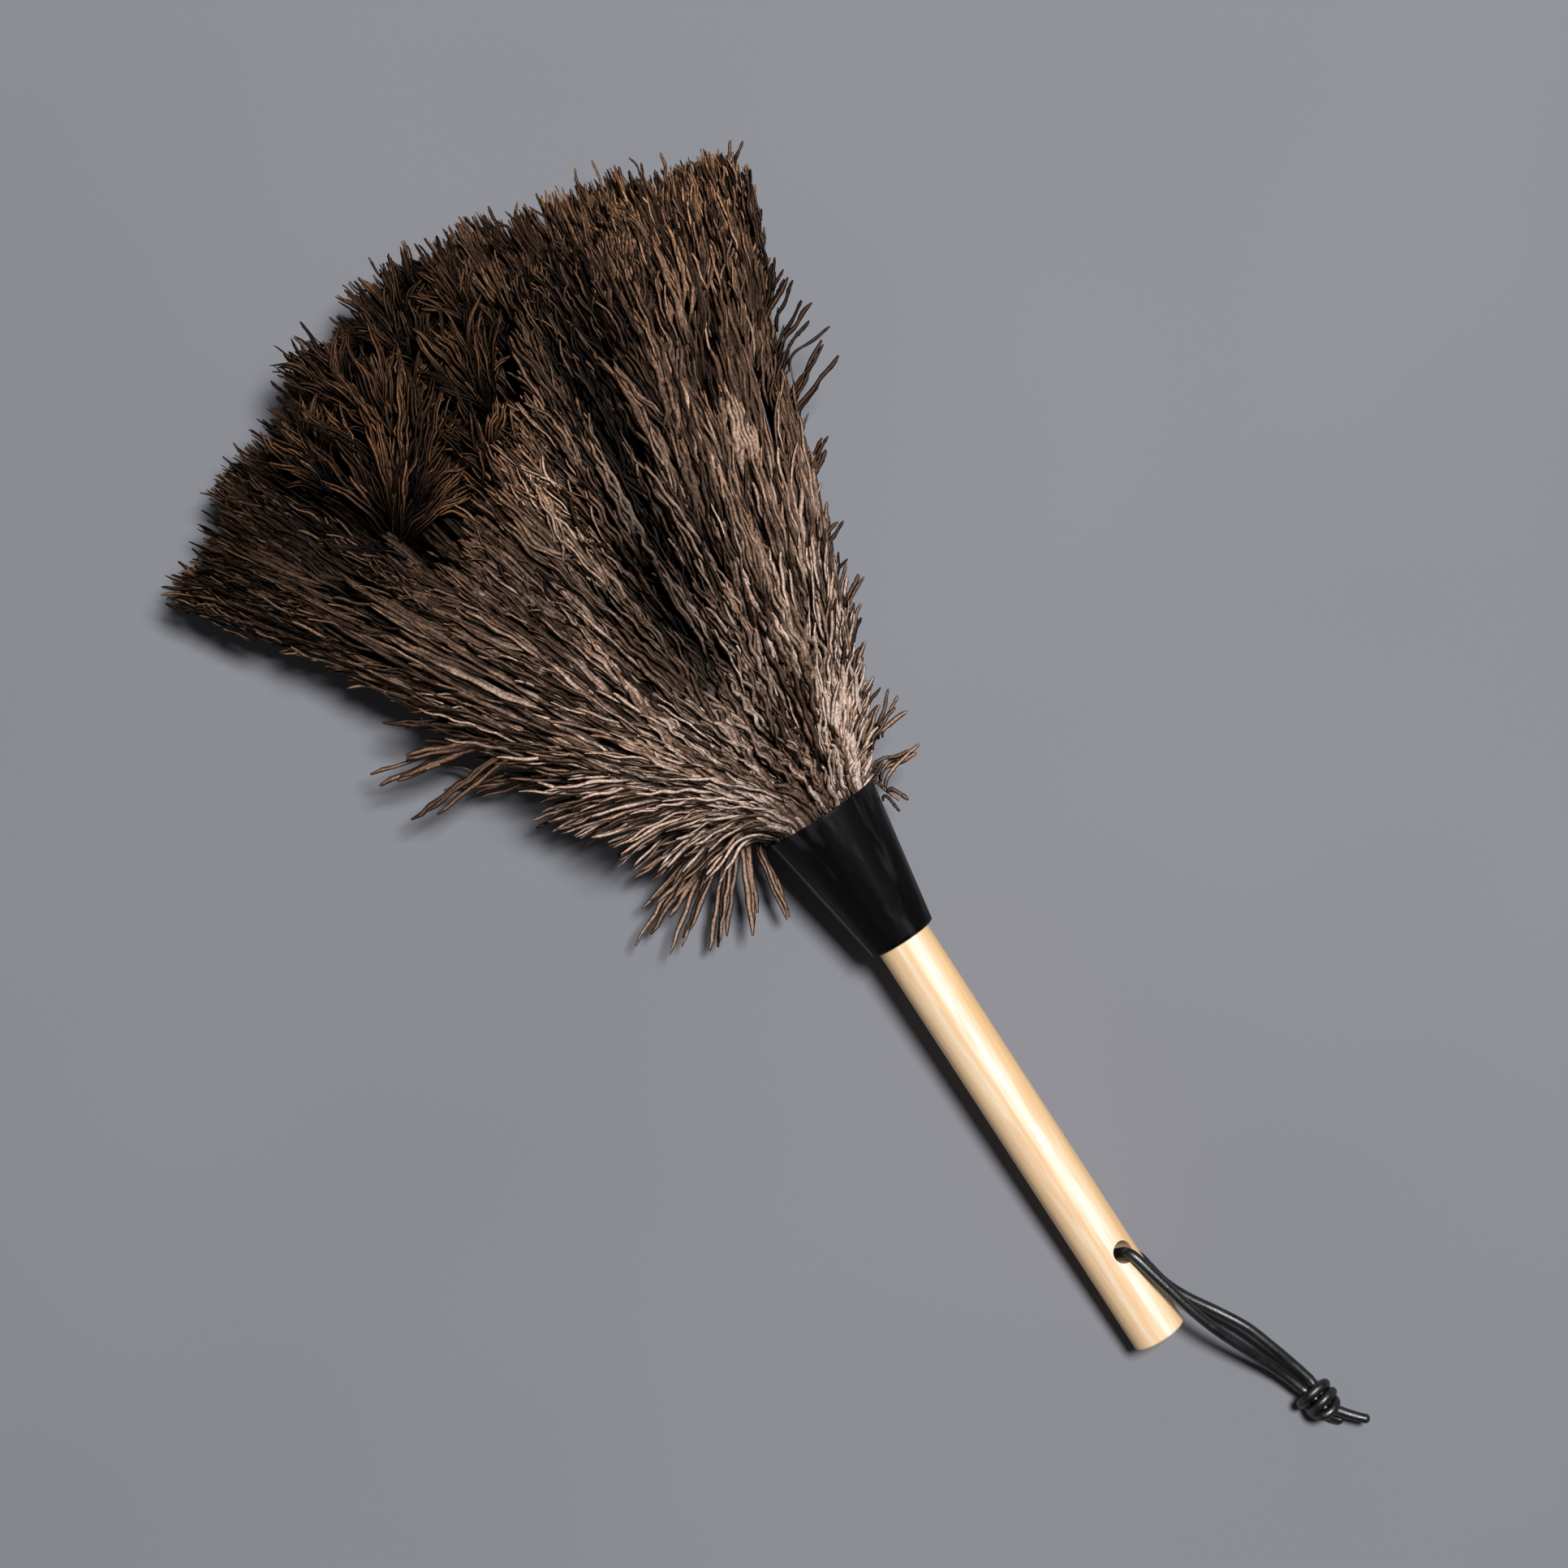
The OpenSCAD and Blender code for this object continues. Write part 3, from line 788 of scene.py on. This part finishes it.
def add_vane(plume, strands):
    """The vane: clumps of barbs that leave the shaft on both sides and lie along it."""
    rng, clumps = plume.rng, CLUMPS[plume.ply]
    reach = rng.uniform(-1.25, 1.25, clumps)
    stop = plume.stop_at(reach)
    start = COLLAR_L - 12 + (stop - 24 - COLLAR_L + 12) * rng.random(clumps) ** 0.85
    length = rng.uniform(0.5, 1.0, clumps) * lookup(start, [(50, 24), (90, 36), (140, 50), (325, 52)])
    height = rng.uniform(-3.2, 2.4, clumps)
    tone = rng.random(clumps) ** 1.3
    skew = rng.normal(0, 0.28, clumps)
    wave = rng.uniform(9, 16, clumps) * lookup(start, [(60, 0.75), (150, 1.0)])
    phase = rng.uniform(0, 2 * np.pi, clumps)
    lean = rng.normal(0, 2.0, clumps)
    inset = INSET * rng.random(clumps) * (rng.random(clumps) < 0.12)
    clump = np.repeat(np.arange(clumps), STRANDS_IN_CLUMP)
    n = len(clump)
    jitter = rng.normal(0, 0.16, n)
    start = start[clump] + rng.normal(0, 4.0, n)
    room = stop[clump] + rng.normal(0, 2.5, n) - start
    level = height[clump] + rng.normal(0, 1.0, n) + 2.6 * (1 - reach[clump] ** 2)
    head_strands(
        plume, strands, start, np.clip(np.minimum(length[clump] * rng.uniform(0.7, 1.1, n), room), 12, None),
        a_root=plume.angle + plume.sector * (0.85 * reach[clump] + jitter),
        a_tip=plume.angle + plume.sector * (reach[clump] + skew[clump] + 0.5 * jitter),
        root=level - 2.6, level=level, tip=level + rng.normal(0.7, 1.2, n), curl=1.7,
        wave=wave[clump], size=rng.uniform(0.14, 0.60, n) * lookup(start, [(60, 1.9), (150, 1.15)]),
        phase=phase[clump] + rng.normal(0, 0.6, n), lean=lean[clump] + rng.normal(0, 0.6, n),
        tone=0.62 * tone[clump] + 0.38 * rng.beta(1.0, 1.5, n),
        width=rng.uniform(0.52, 1.08, n) * lookup(start, [(60, 1.32), (130, 1.2), (210, 1.05)]),
        inset=inset[clump])


def add_tip(plume, strands):
    """The end of the plume: locks of shorter barbs that make a soft round brush and curl outwards."""
    rng, clumps = plume.rng, TIP_CLUMPS[plume.ply]
    reach = rng.uniform(-1.3, 1.3, clumps)
    stop = plume.stop_at(reach) + rng.normal(0, 1.8, clumps)
    level = rng.uniform(-2.4, 2.8, clumps)
    curl = (1.0 + 4.5 * plume.up) * rng.random(clumps)
    wave = rng.uniform(9, 15, clumps)
    phase = rng.uniform(0, 2 * np.pi, clumps)
    tone = rng.random(clumps)
    skew = rng.normal(0, 0.15, clumps)
    inset = INSET * rng.random(clumps) * (rng.random(clumps) < 0.35)
    clump = np.repeat(np.arange(clumps), STRANDS_IN_CLUMP)
    n = len(clump)
    length = rng.uniform(18, 34, n)
    spread = rng.normal(0, 0.10, n)
    level = level[clump] + rng.normal(0, 0.7, n)
    head_strands(
        plume, strands, stop[clump] + rng.normal(0, 1.1, n) - length, length,
        a_root=plume.angle + plume.sector * (0.55 * reach[clump] + spread),
        a_tip=plume.angle + plume.sector * (1.1 * reach[clump] + skew[clump] + 0.6 * spread),
        root=level - 1.5, level=level, tip=level + curl[clump], curl=2.4, wave=wave[clump],
        size=rng.uniform(0.1, 0.35, n),
        phase=phase[clump] + rng.normal(0, 0.5, n), lean=rng.normal(0, 0.5, n),
        tone=0.5 * tone[clump] + 0.5 * rng.beta(1.1, 1.7, n), width=rng.uniform(0.50, 0.90, n),
        inset=inset[clump])


def bent_lines(rng, base, first, final, length, bend):
    """Strands that leave base along first and turn to final over a share, bend, of them, each a bit wavy."""
    n = len(base)
    turned = smooth_step(ALONG, 0, bend)[None, :, None]
    way = unit(first[:, None] * (1 - turned) + final[:, None] * turned)
    centre = base[:, None] + np.cumsum(way, axis=1) * (length / STRAND_RINGS)[:, None, None]
    across = unit(np.cross(way, UP))
    size = rng.uniform(0.15, 0.5, n)[:, None] * smooth_step(ALONG, 0, 0.4)
    wave = rng.uniform(11, 20, n)[:, None]
    cycles = 2 * np.pi * ALONG * length[:, None] / wave + rng.uniform(0, 6, n)[:, None]
    return centre + across * (size * np.sin(cycles))[..., None]


def turned_about_z(way, degrees):
    c, s = np.cos(np.radians(degrees)), np.sin(np.radians(degrees))
    return np.stack([way[:, 0] * c - way[:, 1] * s, way[:, 0] * s + way[:, 1] * c, way[:, 2]], -1)


def add_bent(plume, strands, s, share, angle, turn, rise, length, bend, stretch, tone, height, width,
             flecked=False):
    """Strands rooted in the head that bend away from it, turn degrees in plan and rise upwards.

    Their colours are those of the head from s on, over a stretch of it, with the painted shade of a height
    above it.
    tone holds the two figures of a beta spread, and width the thinnest and the thickest.
    """
    rng = plume.rng
    base = head_point(s, share, angle)
    first = unit(head_point(s + 1, share, angle) - base)
    final = turned_about_z(first, turn)
    final[:, 2] += rise
    centre = bent_lines(rng, base, first, unit(final), length, bend)
    places = s[:, None] + np.reshape(stretch, (-1, 1)) * ALONG
    tints_with_shade = strand_tints_with_shade(plume.ply, rng.beta(*tone, len(s)), places, angle[:, None] + 0 * ALONG,
                         height + 0 * places)
    if flecked:
        tints_with_shade = broken(plume, tints_with_shade, s)
    strands.add(centre, UP, tints_with_shade, rng.uniform(*width, len(s)))


def add_down(plume, strands):
    """Loose down near the collar that spreads out from the sides like a skirt and fluffs up the top."""
    rng = plume.rng
    n = int(DOWN_STRANDS[plume.ply] * (0.3 + 0.7 * abs(plume.side) ** 1.5) * (1.0 if plume.side > 0 else 0.7))
    s = COLLAR_L - 8 + 118 * rng.random(n) ** 1.25
    angle = plume.angle + plume.sector * rng.uniform(-1.2, 1.2, n)
    share = rng.uniform(0.80, 0.97, n)
    spread, lengths = (LEFT_SPREAD, LEFT_DOWN_L) if plume.side > 0 else (RIGHT_SPREAD, RIGHT_DOWN_L)
    turn = lookup(s, spread) * rng.random(n) ** 0.55 * plume.side
    rise = rng.uniform(0, 0.25, n) * plume.up - 0.25 * abs(turn) / 90 + rng.normal(0, 0.06, n)
    length = rng.uniform(*lengths, n) * lookup(s, [(50, 0.75), (80, 1.0), (160, 0.9)])
    add_bent(plume, strands, s, share, angle, turn, rise, length, bend=0.7, stretch=length,
             tone=(1.1, 1.5), height=1.0, width=(0.54, 1.0), flecked=True)


def add_edge(plume, strands):
    """Short barbs that stick out a little along the two sides of the head."""
    rng = plume.rng
    n = int(EDGE_STRANDS[plume.ply] * max(abs(plume.side) - 0.6, 0) / 0.4)
    s = rng.uniform(140, 292, n)
    angle = plume.angle + plume.sector * rng.uniform(-1, 1, n)
    turn = rng.uniform(8, 34, n) * plume.side
    rise = rng.normal(0, 0.10, n)
    length = rng.uniform(14, 26, n)
    add_bent(plume, strands, s, 0.90, angle, turn, rise, length, bend=0.8, stretch=20,
             tone=(1.1, 1.8), height=0.6, width=(0.48, 0.80))


def add_rim(plume, strands):
    """Short bristles that round off the end of the plume like a soft brush."""
    rng = plume.rng
    n = RIM_STRANDS[plume.ply]
    reach = rng.uniform(-1.2, 1.2, n)
    length = rng.uniform(9, 19, n)
    back = 40 * rng.random(n) ** 2.4
    s = plume.stop_at(reach) + rng.normal(1.0, 2.2, n) - length - back
    angle = plume.angle + plume.sector * (0.95 * reach + rng.normal(0, 0.08, n))
    share = share_at(plume.ply, s) + rng.uniform(-0.10, 0.07, n)
    turn = -24 * reach * np.sin(np.radians(plume.angle)) + rng.normal(0, 13, n)
    rise = rng.normal(0.10 * plume.up, 0.22, n) + 0.012 * back * plume.up
    add_bent(plume, strands, s, share, angle, turn, rise, length, bend=1.0, stretch=length,
             tone=(1.2, 1.5), height=0.4, width=(0.42, 0.74))


def add_tuft(plume, strands, s, share, angle, heading, fan, length, slope, locks, pale):
    """A curled-up plume end: locks of strands that rise from a small patch and lean over their neighbours."""
    rng = plume.rng
    side = rng.uniform(-1, 1, locks)
    upper = rng.random(locks) < 0.5
    place = np.radians(heading) + np.radians(fan) * 0.6 * side
    root = head_point(np.full(locks, float(s)), np.full(locks, share), np.full(locks, float(angle)))
    root = root + np.stack([np.cos(place), np.sin(place), 0 * place], -1) * rng.uniform(0, 16, locks)[:, None]
    root = root + rng.normal(0, [2.0, 2.0, 0.8], (locks, 3))
    rise = slope + 0.22 * upper + rng.normal(0, 0.10, locks)
    bend = rng.normal(0, 15, locks)

    def way(part, swing, tilt):
        turn = np.radians(heading + fan * part * side + swing * bend)
        return unit(np.stack([np.cos(turn), np.sin(turn), rise + tilt], -1))

    reach = length * (1 - 0.2 * side ** 2) * rng.uniform(0.50, 1.05, locks)
    line = bent_lines(rng, root, way(0.7, 0.3, 0.30), way(1.1, 1.3, -0.60), reach, 1.0)
    lock = np.repeat(np.arange(locks), STRANDS_IN_LOCK)
    loose = 0.5 + 0.9 * smooth_step(ALONG, 0, 0.15) * (1 - ALONG) ** 0.6
    apart = rng.normal(0, 1, (2, len(lock), 1)) * loose
    along = unit(np.gradient(line, axis=1))[lock]
    across = unit(np.cross(along, UP))
    slide = rng.uniform(-0.22, 0.06, (len(lock), 1, 1)) * reach[lock][:, None, None] * ALONG[None, :, None]
    centre = line[lock] + across * apart[0][..., None] + along * slide
    centre[..., 2] += 0.7 * apart[1]
    tone = (0.35 * rng.random(locks)[lock] + 0.65 * rng.beta(0.9, 1.7, len(lock)))[:, None, None]
    colour = DARK * 0.7 * (1 - tone) + AMBER * pale * tone
    shade = (0.04 + 0.96 * smooth_step(ALONG, 0.18, 0.92)) * (0.35 + 0.65 * upper[lock])[:, None]
    tints_with_shade = broken(plume, colour * shade[..., None], np.full(len(lock), OUTER_END))
    strands.add(centre, UP, tints_with_shade, rng.uniform(0.38, 0.68, len(lock)))


def add_wisp(plume, strands, x, y, z, heading, length, slope, count, fan, pale):
    """A few long strands that leave the head's edge at one place."""
    rng = plume.rng
    radial = math.atan2(y, x - COLLAR_X)
    first = np.array([math.cos(radial), math.sin(radial), -0.05])
    base = np.array([x, y, z]) - WISP_ROOT * first + rng.normal(0, [0.45, 0.25, 0.35], (count, 3)) * fan
    turn = np.radians(heading + rng.normal(0, fan, count))
    final = unit(np.stack([np.cos(turn), np.sin(turn), slope + rng.normal(0, 0.04, count)], -1))
    reach = (length + WISP_EXTRA) * rng.uniform(0.7, 1.0, count)
    centre = bent_lines(rng, base, np.broadcast_to(first, (count, 3)), final, reach, 0.45)
    grey = smooth_step(x, 345, 260)
    full = (UMBER * grey * 2.4 + BROWN * (1 - grey) * 1.2) * pale
    colour = DARK + (full - DARK) * rng.random((count, 1, 1)) ** 0.6
    # Painted shade near the roots, where the strands leave the head
    colour = colour * (0.25 + 0.75 * smooth_step(ALONG, 0.1, 0.45))[:, None]
    strands.add(centre, UP, colour, rng.uniform(0.60, 0.90, count) * (1 + 0.8 / fan))


# Strands lie on the floor at least this high, and none stands higher than the most, in millimetres.
# From the soft heights on, they bend gently towards those limits
FLOOR_SOFT = 4.0
FLOOR_LEAST = 0.9
TOP_SOFT = 97.0
TOP_MOST = 103.0


def keep_heights(centre):
    """Strands that would go below the floor lie on it instead, and the highest ones lie a little flatter."""
    z = centre[..., 2]
    under = np.minimum(z, FLOOR_SOFT) - FLOOR_SOFT
    low = FLOOR_LEAST + (FLOOR_SOFT - FLOOR_LEAST) * np.exp(under / FLOOR_SOFT)
    room = TOP_MOST - TOP_SOFT
    high = TOP_MOST - room * np.exp(-np.maximum(z - TOP_SOFT, 0) / room)
    centre[..., 2] = np.where(z < FLOOR_SOFT, low, np.where(z > TOP_SOFT, high, z))
    return centre


def sweep(centre, outward, half_w, half_t):
    """Triangular tubes along rows of centre points: points (strand, ring, 3 corners)."""
    across, up = across_and_up(centre, outward)
    corners = [(-1, -0.5), (1, -0.5), (0, 1)]
    return np.stack([centre + across * (half_w * x)[..., None] + up * (half_t * z)[..., None]
                     for x, z in corners], 2)


def tube_faces(count, rings, sides):
    """Quads round each of count tubes, and a flat cap at each end."""
    ring = np.arange(sides)
    after = (ring + 1) % sides
    first = np.arange(count)[:, None] * rings * sides
    base = first[..., None] + np.arange(rings - 1)[None, :, None] * sides
    quads = np.stack([base + ring, base + after, base + sides + after, base + sides + ring], -1)
    caps = np.concatenate([first + ring[::-1], first + (rings - 1) * sides + ring])
    return quads.reshape(-1, 4), caps


def fill_mesh(name, points, faces, material, tints_with_shade=None):
    """A smooth mesh of closed tubes, with a colour at each of its points, painted shade and highlight
    included, where such colours are given.
    """
    quads, caps = faces
    mesh = bpy.data.meshes.new(name)
    mesh.vertices.add(len(points))
    mesh.vertices.foreach_set("co", points.astype(np.float32).ravel())
    loops = np.concatenate([quads.ravel(), caps.ravel()])
    sizes = np.concatenate([np.full(len(quads), 4), np.full(len(caps), caps.shape[1])])
    mesh.loops.add(len(loops))
    mesh.loops.foreach_set("vertex_index", loops.astype(np.int32))
    mesh.polygons.add(len(sizes))
    mesh.polygons.foreach_set("loop_start", np.concatenate([[0], np.cumsum(sizes)[:-1]]).astype(np.int32))
    mesh.materials.append(material)
    if tints_with_shade is not None:
        tint_with_shade = mesh.color_attributes.new("tint_with_shade", "FLOAT_COLOR", "POINT")
        tint_with_shade.data.foreach_set("color", np.c_[tints_with_shade, np.ones(len(tints_with_shade))].astype(np.float32).ravel())
    mesh.update(calc_edges=True)
    mesh.validate()
    mesh.shade_smooth()
    return new_object(name, mesh)


SHAFT_RINGS = 22
SHAFT_SIDES = 8
# How far a shaft ends before its vane, and how deep it lies under it
SHAFT_SHORT = 22
SHAFT_DEPTH = 2.5


def shaft_tube(plume):
    """The quill and shaft of one feather, thinning towards its tip."""
    last = plume.stop_at(0) - SHAFT_SHORT
    s = np.linspace(QUILL_START[plume.ply], last, SHAFT_RINGS)
    angle = np.full_like(s, plume.angle)
    centre = head_point(s, share_at(plume.ply, s), angle)
    outward = unit(head_point(s, share_at(plume.ply, s) + 0.03, angle) - centre)
    centre = centre - outward * SHAFT_DEPTH * smooth_step(s, COLLAR_L, COLLAR_L + 25)[:, None]
    across, up = across_and_up(centre, outward)
    radius = lookup(s, [(COLLAR_L, 1.1), (COLLAR_L + 60, 0.8), (last, 0.3)])
    turn = np.arange(SHAFT_SIDES) * 2 * np.pi / SHAFT_SIDES
    ring = np.cos(turn)[None, :, None] * across[:, None] + np.sin(turn)[None, :, None] * up[:, None]
    return centre[:, None] + radius[:, None, None] * ring


# A strand's width along it, how uneven that is, its thickness as a share of it, the painted shade on its two
# edges and the painted highlight on its ridge, and the palest and the darkest that any tint may be
TAPER = [(0, 0.5), (0.12, 0.9), (0.75, 1.0), (0.93, 0.8), (1, 0.4)]
UNEVEN = 0.14
THICKNESS = 0.66
CORNER_SHADE_AND_HIGHLIGHT = np.array([0.36, 0.36, 1.2])[:, None]
PALEST = 0.80
DARKEST = 0.001


def make_feather(plume, barb_material, shaft_material):
    strands = Strands()
    for add in (add_vane, add_tip, add_down, add_edge, add_rim):
        add(plume, strands)
    for table, add in ((TUFTS, add_tuft), (WISPS, add_wisp)):
        for name, *details in table:
            if name == plume.name:
                add(plume, strands, *details)
    centre, outward, tints_with_shade, width = strands.joined()
    half = width[:, None] * lookup(ALONG, TAPER)
    half = half * (1 + UNEVEN * plume.rng.normal(0, 1, half.shape).clip(-1.5, 1.5))
    corners = sweep(keep_heights(centre), outward, half, half * THICKNESS)
    colours = tints_with_shade[:, :, None] * CORNER_SHADE_AND_HIGHLIGHT
    colours = np.maximum(colours * np.minimum(1, PALEST / colours.max(axis=-1, keepdims=True)), DARKEST)
    barbs = fill_mesh(plume.name + "_barbs", to_row(corners.reshape(-1, 3)),
                      tube_faces(len(centre), STRAND_RINGS, 3), barb_material, colours.reshape(-1, 3))
    shaft = shaft_tube(plume).reshape(-1, 3)
    quill = fill_mesh(plume.name + "_shaft", to_row(shaft), tube_faces(1, SHAFT_RINGS, SHAFT_SIDES),
                      shaft_material)
    for piece in (barbs, quill):
        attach(piece, "duster")
        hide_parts(plume.name)


def make_feathers():
    shaft_material = shaft_look()
    for ply in range(3):
        barb_material = barb_look(f"{PLY_NAMES[ply]}_barbs")
        for i in range(1, PLY_COUNT[ply] + 1):
            make_feather(Feather(ply, i), barb_material, shaft_material)


make_camera()
make_thong()
make_studio()
dress_cad_nodes()
make_collar()
make_feathers()
